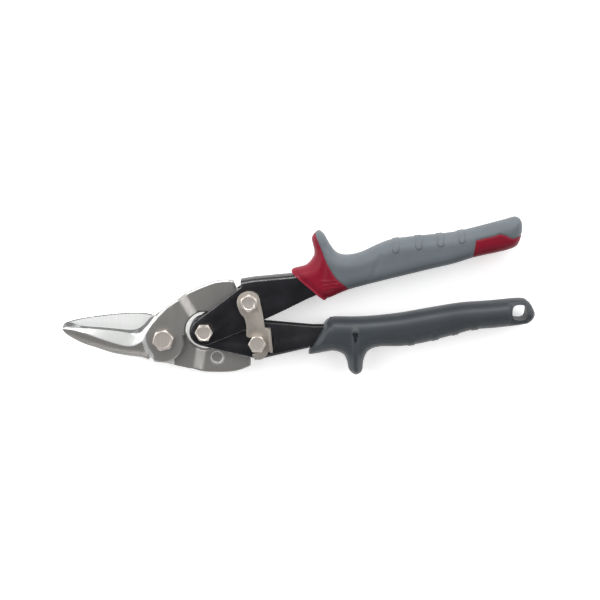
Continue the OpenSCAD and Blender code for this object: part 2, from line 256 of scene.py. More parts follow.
def tube(name, points, radius, sides=10):
    """A round wire along the points, with closed ends."""
    p = [Vector(place(*q)) for q in points]
    bm = bmesh.new()
    angles = [2 * math.pi * k / sides for k in range(sides)]
    rows = []
    for i, q in enumerate(p):
        way = (p[min(i + 1, len(p) - 1)] - p[max(i - 1, 0)]).normalized()
        right = way.cross(Vector((0, 0, 1))).normalized()
        up = right.cross(way)
        rows.append([bm.verts.new(q + (right * math.cos(a) + up * math.sin(a)) * radius * MM) for a in angles])
    for a, b in zip(rows, rows[1:]):
        for k in range(sides):
            bm.faces.new((a[k], b[k], b[(k + 1) % sides], a[(k + 1) % sides]))
    bm.faces.new(rows[0])
    bm.faces.new(rows[-1][::-1])
    return finish_mesh(name, bm, 60)


# ---------------------------------------------------------------- materials
def material(name, color, rough, metal=0.0):
    m = bpy.data.materials.new(name)
    m.use_nodes = True
    shader = m.node_tree.nodes["Principled BSDF"]
    shader.inputs["Base Color"].default_value = (*color, 1)
    shader.inputs["Roughness"].default_value = rough
    shader.inputs["Metallic"].default_value = metal
    return m, m.node_tree, shader


def noise(tree, scale, stretch=(1, 1, 1), detail=4.0, turn=0.0):
    """Noise fixed to the piece, stretched and turned about Z (in radians)."""
    coord = tree.nodes.new("ShaderNodeTexCoord")
    mapping = tree.nodes.new("ShaderNodeMapping")
    mapping.inputs["Scale"].default_value = stretch
    mapping.inputs["Rotation"].default_value = (0, 0, turn)
    tree.links.new(coord.outputs["Object"], mapping.inputs["Vector"])
    tex = tree.nodes.new("ShaderNodeTexNoise")
    tex.inputs["Scale"].default_value = scale
    tex.inputs["Detail"].default_value = detail
    tree.links.new(mapping.outputs["Vector"], tex.inputs["Vector"])
    return tex.outputs["Fac"]


def ramp(tree, value, low, high, start, end):
    """Maps low..high of the value to start..end."""
    node = tree.nodes.new("ShaderNodeMapRange")
    tree.links.new(value, node.inputs["Value"])
    for key, number in (("From Min", low), ("From Max", high), ("To Min", start), ("To Max", end)):
        node.inputs[key].default_value = number
    return node.outputs["Result"]


def tint(tree, value, dark, light):
    """A colour between dark and light."""
    node = tree.nodes.new("ShaderNodeValToRGB")
    node.color_ramp.elements[0].color = (*dark, 1)
    node.color_ramp.elements[1].color = (*light, 1)
    node.color_ramp.elements[0].position = 0.3
    node.color_ramp.elements[1].position = 0.7
    tree.links.new(value, node.inputs["Fac"])
    return node.outputs["Color"]


def bump(tree, shader, value, depth, strength=1.0):
    """Fine relief of that depth, in metres."""
    node = tree.nodes.new("ShaderNodeBump")
    node.inputs["Distance"].default_value = depth
    node.inputs["Strength"].default_value = strength
    tree.links.new(value, node.inputs["Height"])
    tree.links.new(node.outputs["Normal"], shader.inputs["Normal"])


GRAIN_STRETCH = (1, 0.04, 1)  # long thin grinding scratches
GRAIN_SHARE = 0.6  # of the tone; slow clouds give the rest
GRAIN_DEPTH = 0.000012


def steel(name, dark, light, rough, grain_turn, metal=1.0):
    """Ground steel: fine scratches along one direction, over a slow change of tone."""
    m, tree, shader = material(name, light, rough, metal)
    scratches = noise(tree, 900, GRAIN_STRETCH, 3, grain_turn)
    clouds = noise(tree, 60, detail=3)
    mix = tree.nodes.new("ShaderNodeMath")
    mix.operation = "MULTIPLY_ADD"
    mix.inputs[1].default_value = GRAIN_SHARE
    tree.links.new(scratches, mix.inputs[0])
    tree.links.new(ramp(tree, clouds, 0, 1, 0, 1 - GRAIN_SHARE), mix.inputs[2])
    tone = mix.outputs[0]
    tree.links.new(tint(tree, tone, dark, light), shader.inputs["Base Color"])
    tree.links.new(ramp(tree, tone, 0.3, 0.7, rough + 0.08, rough - 0.06), shader.inputs["Roughness"])
    bump(tree, shader, scratches, GRAIN_DEPTH)
    return m


def rubber(name, dark, light, rough, shine=0.4):
    """Moulded rubber: a fine spark-eroded texture and a soft mottled tone."""
    m, tree, shader = material(name, light, rough)
    fine = noise(tree, 2600, detail=2)
    clouds = noise(tree, 45, detail=5)
    tree.links.new(tint(tree, clouds, dark, light), shader.inputs["Base Color"])
    tree.links.new(ramp(tree, clouds, 0.3, 0.7, rough + 0.05, rough - 0.05), shader.inputs["Roughness"])
    shader.inputs["Specular IOR Level"].default_value = shine
    bump(tree, shader, fine, 0.00006, 0.5)
    return m


def gloss_black(name, gloss, ior=1.5):
    """Baked black enamel over pressed steel, with a slight orange peel."""
    dark, light = (0.005, 0.005, 0.007), (0.012, 0.012, 0.015)
    m, tree, shader = material(name, light, 0.3)
    shader.inputs["Specular IOR Level"].default_value = gloss
    shader.inputs["IOR"].default_value = ior
    peel = noise(tree, 700, detail=2)
    wear = noise(tree, 90, detail=6)
    tree.links.new(tint(tree, wear, dark, light), shader.inputs["Base Color"])
    tree.links.new(ramp(tree, wear, 0.3, 0.7, 0.2, 0.3), shader.inputs["Roughness"])
    bump(tree, shader, peel, 0.00004, 0.4)
    return m


# Each steel is: dark and light tone, roughness, direction of its grain, how metallic it is
FACE_STEEL = steel("face_steel", (0.30, 0.29, 0.279), (0.35, 0.338, 0.325), 0.40, 0.5, 0.85)
TAIL_STEEL = steel("tail_steel", (0.29, 0.281, 0.271), (0.34, 0.33, 0.318), 0.40, -0.1, 0.85)
# on the front blade this bright steel stands in for light on the jaw's top face and the fillet by the boss, and for a
# highlight along the back rim
BRIGHT_STEEL = steel("bright_steel", (0.60, 0.61, 0.60), (0.68, 0.69, 0.68), 0.42, 0.1, 0.9)
FLAT_STEEL = steel("flat_steel", (0.69, 0.70, 0.69), (0.76, 0.77, 0.76), 0.42, 0.1, 0.25)
BAND_STEEL = steel("band_steel", (0.13, 0.132, 0.13), (0.19, 0.192, 0.19), 0.36, 1.4)
# painted shade: a darker steel for the blades' side walls and a thin outline along the rear jaw's back
EDGE_STEEL_PAINTED_SHADE = steel("edge_steel_painted_shade", (0.20, 0.198, 0.195), (0.28, 0.277, 0.273), 0.34, 1.5)
BOLT_STEEL = steel("bolt_steel", (0.50, 0.455, 0.415), (0.64, 0.59, 0.545), 0.36, 0.9, 0.7)
LATCH_STEEL = steel("latch_steel", (0.47, 0.43, 0.385), (0.59, 0.54, 0.485), 0.42, 1.4, 0.9)
WIRE_STEEL = steel("wire_steel", (0.3, 0.3, 0.3), (0.5, 0.5, 0.5), 0.3, 0.0)
BLACK = gloss_black("gloss_black", 0.5)
# painted shade: the enamel with little reflection, for the handles' faces that look straight back
BLACK_PAINTED_SHADE = gloss_black("black_painted_shade", 0.3, 1.12)
# worn bare steel on the handles' rims, which also stands in as a painted highlight line along them
WORN_RIM_HIGHLIGHT = steel("worn_black_rim_highlight", (0.06, 0.06, 0.062), (0.26, 0.26, 0.262), 0.34, 0.7)
GREY = rubber("grip_grey", (0.088, 0.103, 0.114), (0.108, 0.125, 0.138), 0.55)
RED = rubber("grip_red", (0.155, 0.001, 0.012), (0.20, 0.002, 0.017), 0.5, 0.22)
DARK = rubber("grip_dark", (0.025, 0.030, 0.035), (0.036, 0.042, 0.048), 0.46)

# ---------------------------------------------------------------- blades
BLADE_T = 4.55  # thickness of each blade at the main pivot
GAP = 0.05  # from the shear plane to each blade
TAIL_HALF = 2.2  # the tails are centred on the shear plane
JOG = (17.7, 23.2)  # where the front blade steps back to its tail, and where that step ends
JOG_TURN = math.radians(31.4)  # the direction in which that is measured
BOSS = (-0.6, -0.9)
BOSS_R = 11.5
THROAT_R = 10.1  # the hollow round the handle bolt
BORE = 3.05
UPPER_PIN_BORE = 2.9
LOWER_PIN_BORE = 2.55
JAW_HEEL = (-8.6, -11.3)
REAR_HEEL = (-9.8, -1.2)

TAIL = [(21.6, 14.4), (27, 13.9), (38, 12.4), (46, 13.5), (50.6, 15.6), (52.3, 20.2), (50.5, 24.8), (46, 26.75),
    (42, 26.2), (39.1, 26.6), (38.1, 28.5), (37.4, 30.3), (36.4, 31.1), (31, 31.1), (25.3, 29.9), (14.1, 25.2),
    (6.4, 20.4), (0.1, 16), (-5, 12.2)]
TAIL_LINE = curve(TAIL)
JAW_EDGE = [(-7, 11.2), (-10.6, 7.2), (-13.6, 5.2), (-17.2, 4.5), (-22.8, 4.9), (-30, 5.6), (-37.6, 6.1), (-43.6, 6.8),
    (-49.4, 8.5), (-52.6, 8.0), (-54, 5)]
JAW_UNDER = [(-54, 5), (-52.8, 3.2), (-50.3, 1.2), (-43.7, -2.4), (-35.2, -5.3), (-27.1, -7.9), (-19, -9.4),
    (-12.3, -10.2), JAW_HEEL]
RIDGE = [(-54, 5.4), (-47.3, 4.6), (-41.2, 3.1), (-34.7, 0.7), (-27.6, -1.6), (-22.1, -3.1), (-18, -3.7), (-14.5, -2.9),
    (-11.4, -0.8), (-9.3, 1.2), (0, 3)]


def tail_run(x, y, turn):
    """0 on the jaw side of the step and 1 on the tail."""
    return ease(x * math.cos(turn) + y * math.sin(turn), JOG[0] - 0.5, JOG[1] + 0.5)


CUT_LINE, UNDER_LINE = curve(JAW_EDGE, 4), curve(JAW_UNDER)


def front_outline():
    throat = arc(EYE, THROAT_R, 190, 95)
    boss = arc(BOSS, BOSS_R, -114, 15)
    heel = [JAW_HEEL, (-7.0, -10.2)]
    return np.vstack([UNDER_LINE, heel, boss, throat, TAIL_LINE, [TAIL[-1]], CUT_LINE])


FRONT_LINE = front_outline()
BAND = [(-53.9, 5.9), (-45, 5.5), (-37.4, 5.3), (-29.8, 4.7), (-22.2, 3.8), (-17.1, 2.9), (-14.6, 2.6), (-12.4, 3.3),
    (-10.3, 5.4), (-7.7, 8.2), (-4.4, 12.6)]
BOSS_EDGE = [(8, 21.6), (3, 17.3), (-0.6, 13.9), (-3.7, 10.5), (-6.2, 7.4), (-8, 4.8), (-9.2, 2.2), (-8.8, -1.4),
    (-7.6, -4.5), (-5.8, -7.3), (-5.1, -9.6), (-5.1, -12)]
BAND_LINE, RIDGE_LINE, BOSS_LINE = curve(BAND, 4), curve(RIDGE, 4), curve(BOSS_EDGE, 4)
OVER_LINE = TAIL_LINE[np.argmax(TAIL_LINE[:, 1]) :]  # the blade's back, left of its highest point

# Heights along the jaws, as (x, height)
CREST = [(-54, 1.9), (-46, 2.9), (-20, 4.1), (-8, 4.3)]
SHOULDER = [(-54, 1.3), (-40, 1.8), (-8, 2.6)]
REAR_DEPTH = [(-54, 1.7), (-46, 2.6), (-20, 4.0), (-8, 4.3)]
CUT_LAND = 0.35  # left at the cutting edge
FLANK_FOOT = 0.6
FILLET = 3.4  # between the jaw and the boss
TAIL_START = 14  # x


def across(run, turn):
    """A crease right across the tail, at that distance along it."""
    t = np.linspace(-26, 26, 40)
    return np.column_stack([run * math.cos(turn) - t * math.sin(turn), run * math.sin(turn) + t * math.cos(turn)])


def worn(edge, width, slope):
    """How far a rim of that width is worn down, from the distance to the edge."""
    return np.clip(width - edge, 0, 1) * slope


def left_of_boss(x, y):
    return x < np.interp(y, BOSS_LINE[::-1, 1], BOSS_LINE[::-1, 0])


def front_top(x, y):
    p = np.column_stack([x, y])
    rim = distance(p, FRONT_LINE)
    body = BLADE_T + (TAIL_HALF - BLADE_T) * tail_run(x, y, JOG_TURN) - worn(rim, 0.7, 0.9)
    # The jaw: a ground bevel at the cutting edge, a face that climbs to a ridge, and a rounded lower flank
    cut = distance(p, CUT_LINE, False)
    band = distance(p, BAND_LINE, False)
    ridge = distance(p, RIDGE_LINE, False)
    under = distance(p, UNDER_LINE, False)
    crest, shoulder = along(x, CREST), along(x, SHOULDER)
    bevel = CUT_LAND + (shoulder - CUT_LAND) * cut / np.maximum(cut + band, 1e-3)
    face = shoulder + (crest - shoulder) * band / np.maximum(band + ridge, 1e-3)
    drop = under / np.maximum(under + ridge, 1e-3)
    flank = FLANK_FOOT + (crest - FLANK_FOOT) * np.sqrt(1 - (1 - drop) ** 1.6)
    jaw = np.where(y > along(x, RIDGE), np.where(y > along(x, BAND), bevel, face), flank)
    fillet = ease(distance(p, BOSS_LINE, False), 0, FILLET) * left_of_boss(x, y)
    return body + (np.minimum(jaw, body) - body) * fillet


def front_bottom(x, y):
    return GAP + (-TAIL_HALF - GAP) * tail_run(x, y, JOG_TURN)


def near(x, y, line, reach):
    return float(distance([(x, y)], line, False)[0]) < reach


def front_paint(x, y, z, normal):
    """0 ground face; 1 bright steel: the jaw's back face, painted light on the jaw's top face and on the fillet by the
    boss, and a painted highlight along the back rim; 2 painted shade on every side wall, the cutting edge among them; 3
    dark ground band.
    """
    if z < 0.2 and x < TAIL_START and normal.z < -0.5:
        return 1
    # painted shade: every side wall takes the darker edge steel
    if abs(normal.z) < 0.2:
        return 2
    # painted light: the jaw's top face and the fillet by the boss take the bright steel, and the flank that faces down
    # keeps the plainer steel
    if x < 10 and left_of_boss(x, y):
        if y > along(x, BAND) and not near(x, y, BOSS_LINE, 1.2):
            return 3
        if y < along(x, RIDGE) and not near(x, y, BOSS_LINE, 2.4):
            return 0
        return 1
    # painted highlight: a bright strip along the blade's back rim, except on the step
    run = x * math.cos(JOG_TURN) + y * math.sin(JOG_TURN)
    if near(x, y, OVER_LINE, 0.7) and not JOG[0] < run < JOG[1]:
        return 1
    return 0


def front_blade():
    name = "front_blade_forged"
    holes = [arc((0, 0), BORE, 0, 352, 40), arc(UPPER_PIN, UPPER_PIN_BORE, 0, 352, 36)]
    creases = [BAND_LINE, RIDGE_LINE, BOSS_LINE, across(JOG[0], JOG_TURN), across(JOG[1], JOG_TURN)]
    shape = plate(FRONT_LINE, front_top, front_bottom, holes, grid=1.0, rings=(0.3, 0.7, 1.2), edge_step=0.8,
        paint=front_paint, lines=creases)
    new_object(name, finish_mesh(name, shape), "front_jaw", ["front_blade"],
        [FACE_STEEL, BRIGHT_STEEL, EDGE_STEEL_PAINTED_SHADE, BAND_STEEL])


front_blade()

REAR_TOP = [(-5, 12.2), (-8.5, 13.3), (-14.6, 13.7), (-22.2, 13.4), (-29.8, 12.7), (-38.5, 11.5), (-45.1, 10.4),
    (-50.2, 9), (-52.8, 7.9), (-53.8, 5.4)]
REAR_EDGE = [(-53.8, 5.4), (-51, 4.6), (-38, 3.6), (-26, 2.2), (-14, 0.8), REAR_HEEL]
REAR_TOP_LINE, REAR_EDGE_LINE = curve(REAR_TOP, 4), curve(REAR_EDGE)


def rear_outline():
    heel = [REAR_HEEL, (-8.2, -6), (-5.6, -9.4), (-5.3, -12.8)]
    tail = turned_over(TAIL_LINE)[::-1][:-4]  # its last stretch gives way to the heel
    throat = turned_over(arc(EYE, THROAT_R, 95, 190))
    boss = arc(BOSS, BOSS_R, 20, 108)
    return np.vstack([REAR_EDGE_LINE, heel, tail, throat, boss, REAR_TOP_LINE])


REAR_LINE = rear_outline()
REAR_TURN = 2 * AXIS - JOG_TURN
STAMP = (28.3, -9.9)
STAMP_RINGS = (2.3, 2.75, 3.4, 3.8)  # radii: recess floor, its rim, inside and outside of the ring
FLAT_END = 5.4  # the bright flat face ends at this x


def rear_top(x, y):
    p = np.column_stack([x, y])
    body = -GAP + (TAIL_HALF + GAP) * tail_run(x, y, REAR_TURN)
    rim = distance(p, REAR_LINE)
    stamp = np.hypot(x - STAMP[0], y - STAMP[1])
    floor, recess, ring, outer = STAMP_RINGS
    body = body - 0.2 * ease(stamp, outer, ring) - 0.45 * ease(stamp, recess, floor)
    return body - np.where(x > TAIL_START, worn(rim, 0.5, 0.8), 0)


def rear_bottom(x, y):
    p = np.column_stack([x, y])
    body = -BLADE_T + (BLADE_T - TAIL_HALF) * tail_run(x, y, REAR_TURN)
    body = body + worn(distance(p, REAR_LINE), 0.6, 0.9)
    # The jaw thins towards its back and its cutting edge
    over = distance(p, REAR_TOP_LINE, False)
    cut = distance(p, REAR_EDGE_LINE, False)
    depth = np.minimum(along(x, REAR_DEPTH), 0.4 + over * 0.75)
    depth = np.minimum(depth, 0.4 + cut * 1.3)
    reach = ease(np.hypot(x + 0.6, y - 0.6), 9.5, 14)
    return np.where(x < 0, body + (np.maximum(-depth, body) - body) * reach, body)


def rear_paint(x, y, z, normal):
    """0 ground face, 1 bright flat face, 2 painted shade on the side walls and as a thin outline along the jaw's back,
    3 stamped ring.
    """
    if abs(normal.z) < 0.2:
        return 2
    # painted shade: a thin darker outline along the jaw's back edge
    if x < -6 and z > -1 and near(x, y, REAR_TOP_LINE, 0.4):
        return 2
    if x < FLAT_END and z > -0.8 or x < -8:
        return 1
    if z > 0 and STAMP_RINGS[1] < math.hypot(x - STAMP[0], y - STAMP[1]) < STAMP_RINGS[2]:
        return 3
    return 0


def rear_blade():
    name = "rear_blade_forged"
    holes = [arc((0, 0), BORE, 0, 352, 40), arc(LOWER_PIN, LOWER_PIN_BORE, 0, 352, 36)]
    creases = [across(JOG[0], REAR_TURN), across(JOG[1], REAR_TURN), [(FLAT_END, 4), (FLAT_END, -18)]]
    creases += [arc(STAMP, radius, 0, 360, 33) for radius in STAMP_RINGS]
    shape = plate(REAR_LINE, rear_top, rear_bottom, holes, grid=0.9, rings=(0.3, 0.6), edge_step=0.8,
        paint=rear_paint, lines=creases)
    new_object(name, finish_mesh(name, shape), "rear_jaw", ["rear_blade"],
        [TAIL_STEEL, FLAT_STEEL, EDGE_STEEL_PAINTED_SHADE, BRIGHT_STEEL])


rear_blade()

# ---------------------------------------------------------------- grips
UPPER_FRONT = [(68, 36.9), (86.8, 21.6)]  # the grips' front edges, cut off square
LOWER_FRONT = [(76.9, -7.6), (87.4, 10.4)]
UPPER_GRIP = closed([(78.7, 54.2), (79.2, 50.4), (80, 46.9), (79.4, 43.6), (75.6, 39.4), (68, 36.9), (72, 32.3),
    (78, 27.2), (83.6, 22.4), (86.8, 21.6), (97.8, 26.2), (110, 29.6), (124.8, 33.3), (141.6, 37.4), (153.4, 40.2),
    (164.3, 43.6), (175.3, 46), (182, 47.7), (186.4, 49.8), (188.5, 54.3), (189.2, 59.6), (188.4, 63.4), (185.6, 65),
    (180, 63.5), (167.2, 60.1), (153.5, 56.9), (136.4, 55), (122.2, 53.3), (114.3, 50.7), (104.6, 46.2),
    (96.9, 44.7), (91.6, 46.2), (88, 50.8), (85, 56), (81.8, 57.8)])
LOWER_GRIP = closed([(76.9, -7.6), (80.2, -8.1), (86, -7), (90.6, -6.5), (95.4, -8.4), (97.4, -12.2), (98.6, -17),
    (102, -19.4), (105.4, -17.4), (106.3, -11.4), (108.8, -6.4), (114.6, -4.2), (125.6, -4), (136.3, -2.5),
    (145.6, -0.2), (155.9, 2.6), (164.5, 4.9), (176, 5.9), (189.5, 7.5), (194.2, 8.9), (196.8, 12.6), (195.8, 16.4),
    (193, 20.2), (188.4, 21.6), (173.1, 20.2), (158.3, 19.1), (143.5, 16.8), (125.5, 13.6), (109.7, 11.9),
    (99.5, 11.5), (90, 11.5), (87.4, 10.4), (82, 1.4)])


def with_bumps(loop, middles, side):
    """The outline pushed outwards where the finger pads stand at its edge."""
    out = resample(loop, 0.5)
    for x in middles:
        edge = np.abs(out[:, 1] - along(out[:, 0], GRIP_MIDDLE[side])) > 4
        rise = 0.4 * ease(np.abs(out[:, 0] - x), 2.2, 1.5) * edge
        rise = rise * ((out[:, 1] > along(out[:, 0], GRIP_MIDDLE[side])) == (side > 0))
        out = out + np.column_stack([np.zeros(len(out)), side * rise])
    return out


GRIP_MIDDLE = {1: [(110, 40), (170, 52)], -1: [(110, 4), (170, 13)]}
UPPER_GRIP = with_bumps(UPPER_GRIP, (122.8, 134.6, 145.8, 156.8), 1)
LOWER_GRIP = with_bumps(LOWER_GRIP, (131.4, 144.2, 154.8, 165.0), -1)
SEAM = curve([(80.2, 60), (80.8, 55), (83.3, 49), (85.9, 42.3), (88.6, 37.4), (91.3, 33.3), (96.1, 29), (99, 26)], 5)
PANEL = [(163.2, 42), (163.2, 45), (164.3, 53.4), (174.2, 55.8), (176.7, 56.8), (179.4, 56.1), (183.6, 54.1),
    (186, 54.8), (190.5, 56.4)]


def long_edge(outline, start, end):
    """The outline without its front stretch, which is cut off square: from one front corner round to the other."""
    first = int(np.argmin(np.hypot(*(outline - start).T)))
    loop = np.roll(outline, -first, axis=0)
    last = int(np.argmin(np.hypot(*(loop - end).T)))
    return loop[: last + 1]


def bulge(edge, radius, half):
    """Height of a rounded cross-section at that distance from its edge."""
    t = np.clip(edge / radius, 0, 1)
    return half * (1 - (1 - t) ** 2.3) ** (1 / 2.3)


def pad_line(px, py, turn, length, width):
    """The U-shaped outline of one finger pad."""
    a = math.radians(turn)
    u = np.concatenate([[length, length * 0.5], -width * np.sin(np.linspace(0, math.pi, 9)), [length * 0.5, length]])
    v = np.concatenate([[-width, -width], -width * np.cos(np.linspace(0, math.pi, 9)), [width, width]])
    return np.column_stack([px + u * math.cos(a) - v * math.sin(a), py + u * math.sin(a) + v * math.cos(a)])


def groove(p, line, depth, outer, inner):
    """A groove along the line: its full depth within inner of it, and nothing beyond outer."""
    return depth * ease(distance(p, line, False), outer, inner)


def pads(x, y, places, length, width=1.6, height=0.5):
    """Raised U-shaped finger pads: each place is (x, y, direction in degrees)."""
    out = np.zeros_like(x)
    for px, py, turn in places:
        a = math.radians(turn)
        u = (x - px) * math.cos(a) + (y - py) * math.sin(a)
        v = -(x - px) * math.sin(a) + (y - py) * math.cos(a)
        away = np.hypot(v, np.clip(-u, 0, 30)) + np.clip(u - length, 0, 30)
        out = np.maximum(out, height * ease(away, width + 0.25, width - 0.15))
    return out


UPPER_PADS = [(122.3, 48.6, 86), (134.4, 50.4, 90), (145.8, 51.9, 90), (156.9, 53.7, 92)]
PAD_CREASES = [pad_line(*p, 7, w) for p in UPPER_PADS for w in (1.45, 1.85)]


UPPER_SIDE = long_edge(UPPER_GRIP, UPPER_FRONT[1], UPPER_FRONT[0])
LOWER_SIDE = long_edge(LOWER_GRIP, *LOWER_FRONT)
GRIP_TOP = GRIP_HALF - 0.75  # the grips' own half thickness, below their pads and ridges
GRIP_LIMIT = GRIP_HALF - 0.01
PALM_STEP = [(114.6, 44.5), (112.6, 39.5), (109.6, 33.5)]
GUARD_FOLD = [(86.2, 50), (85.2, 41), (84.2, 33)]
GUARD_RIB = np.array([(83.6, 31.6), (91.2, 32.2)])
RIB_STEP = np.array([0.9, -1.9])  # from one of the guard's three ribs to the next


def upper_height(x, y):
    p = np.column_stack([x, y])
    edge = distance(p, UPPER_SIDE, False)
    z = bulge(edge, 7.2, GRIP_TOP) * (0.84 + 0.16 * ease(x, 76, 96))
    z = z - groove(p, UPPER_FRONT, 0.9, 2.2, 0.2)
    z = z - groove(p, SEAM, 0.45, 0.8, 0.1) * ease(edge, 0.1, 1)
    z = z + pads(x, y, UPPER_PADS, 20) * ease(edge, 0, 0.5)
    z = z - groove(p, PANEL, 0.4, 0.7, 0.1) * ease(edge, 0.1, 1)
    z = z - groove(p, PALM_STEP, 0.35, 2.4, 0.2)
    z = z - groove(p, GUARD_FOLD, 0.45, 2.2, 0.1)
    for k in range(3):
        z = z + groove(p, GUARD_RIB + k * RIB_STEP, 0.35, 0.55, 0.15)
    return np.clip(z, 0, GRIP_LIMIT)


def mirrored(height):
    """The underside that mirrors a top."""
    return lambda x, y: -height(x, y)


def region(loop, test):
    """The closed loop's own points that pass the test, in order, starting after a gap."""
    loop = resample(loop, 0.8)
    ok = test(loop)
    start = next(i for i in range(len(ok)) if ok[i] and not ok[i - 1])
    order = np.roll(np.arange(len(ok)), -start)
    return loop[[i for i in order if ok[i]]]


def right_of_seam(p):
    at = np.interp(p[:, 1], SEAM[::-1, 1], SEAM[::-1, 0])
    return p[:, 0] > at + 0.05


def in_panel(p):
    shape = np.array(PANEL + [(200, 56.4), (200, 30), (163.2, 30)])
    return inside(p, shape)


def seam_inside(line, loop):
    """The line's points that lie inside the loop, clear of its edge."""
    line = resample_open(line, 0.8)
    keep = inside(line, loop) & (distance(line, loop) > 0.3)
    return line[keep]


GRIP_RINGS = (0.06, 0.22, 0.5, 0.95, 1.6)
seam_line = seam_inside(SEAM, UPPER_GRIP)
panel_line = seam_inside(PANEL, UPPER_GRIP)
guard_edge = region(UPPER_GRIP, lambda p: ~right_of_seam(p))
rest_edge = region(UPPER_GRIP, lambda p: right_of_seam(p) & ~in_panel(p))
panel_edge = region(UPPER_GRIP, in_panel)


def joined(*stretches):
    """Stretches joined end to end into a loop, each turned round if its far end is nearer."""
    out = stretches[0]
    for s in stretches[1:]:
        s = s if np.linalg.norm(s[0] - out[-1]) < np.linalg.norm(s[-1] - out[-1]) else s[::-1]
        out = np.vstack([out, s])
    return out


def grip_piece(name, loop, node, mat, body="upper_arm", height=upper_height, holes=(), lines=()):
    shape = plate(loop, height, mirrored(height), holes, 0.8, GRIP_RINGS, 0.8, None, lines)
    return new_object(name, finish_mesh(name, shape), body, [node], [mat])


grip_piece("guard_moulded", joined(guard_edge, seam_line), "upper_grip_guard", RED)
grip_piece("panel_moulded", joined(panel_edge, panel_line), "upper_grip_insert", RED)
split = int(np.argmax(np.linalg.norm(np.diff(rest_edge, axis=0), axis=1))) + 1
lower_run, upper_run = rest_edge[:split], rest_edge[split:]
grip_piece("upper_grip_moulded", joined(lower_run, panel_line, upper_run, seam_line), "upper_grip", GREY,
    lines=PAD_CREASES)

LOWER_PADS = [(131.4, 0.6, -86), (144.2, 3.0, -86), (154.8, 5.6, -86), (165.0, 7.8, -88)]
NOTCH = np.array([(99.8, 4.4), (103.3, 4.4), (102.1, -1.2), (101.2, -1.2)])
HOLE = np.array([188.3, 14.7])
LOWER_BEVEL = [(75.8, -9.4), (89, 12.6)]
STOP_RIDGE = [(101.5, 5), (101.8, -17)]  # down the thumb stop


def lower_height(x, y):
    p = np.column_stack([x, y])
    edge = distance(p, LOWER_SIDE, False)
    z = bulge(edge, 7.6, GRIP_TOP) * (0.84 + 0.16 * ease(x, 76, 92))
    z = z + pads(x, y, LOWER_PADS, 20, 1.7, 0.3) * ease(edge, 0, 0.5)
    # Flat front bevel, the notch over the thumb stop, and the eased rim of the hang hole
    z = z - groove(p, LOWER_BEVEL, 1.2, 2.2, 0.4)
    z = z + groove(p, STOP_RIDGE, 0.8, 2.3, 0.6) * ease(edge, 0.5, 2.5)
    wide = distance(p, NOTCH)
    depth_in = np.where(inside(p, NOTCH), wide, -wide)
    z = z - 2.0 * ease(depth_in, -0.1, 0.5)
    square = np.maximum(np.abs(x - HOLE[0]), np.abs(y - HOLE[1]))
    z = z - 1.6 * ease(square, 6.2, 4.0)
    return np.clip(z, 0, GRIP_LIMIT)


hang_hole = closed([HOLE + np.array(q) for q in
    [(4, 1.4), (3.2, 3.2), (1.4, 4), (-1.4, 4), (-3.2, 3.2), (-4, 1.4), (-4, -1.4), (-3.2, -3.2), (-1.4, -4),
     (1.4, -4), (3.2, -3.2), (4, -1.4)]], 4)
grip_piece("lower_grip_moulded", LOWER_GRIP, "lower_grip", DARK, "lower_arm", lower_height, [hang_hole],
    [np.vstack([NOTCH, NOTCH[:1]])] + [pad_line(*p, 8, 1.65) for p in LOWER_PADS])


# ---------------------------------------------------------------- spring
SPRING_TURNS = 1.5  # in each half
SPRING_MEAN = 4.55
SPRING_RISE = 0.95
WIRE_R = 0.5
LEG_Z = 0.62
LEG = 14.6
LEG_IN = 0.5  # how far the leg leans inwards over its length


def spring_points(side):
    """Half of the spring: its coils about the handle pivot, then its straight leg."""
    end = AXIS + side * math.pi / 2
    out = []
    for k in range(37):
        t = k / 36
        a = end - side * 2 * math.pi * SPRING_TURNS * (1 - t)
        x, y = EYE[0] + SPRING_MEAN * math.cos(a), EYE[1] + SPRING_MEAN * math.sin(a)
        out.append((x, y, side * (LEG_Z + SPRING_RISE * (1 - t))))
    start = np.array(out[-1][:2])
    way = np.array([math.cos(AXIS), math.sin(AXIS)])
    inward = -side * np.array([-math.sin(AXIS), math.cos(AXIS)])
    for k in range(1, 9):
        q = start + way * LEG * k / 8 + inward * LEG_IN * k / 8
        out.append((*q, side * LEG_Z))
    return out


def spring_piece(name, side, body, node):
    mesh = tube(name, spring_points(side), WIRE_R)
    return new_object(name, mesh, body, [node], [WIRE_STEEL])


spring_piece("spring_upper_half", 1, "upper_arm", "spring_leg")
spring_piece("spring_lower_half", -1, "lower_arm", "spring_coil")


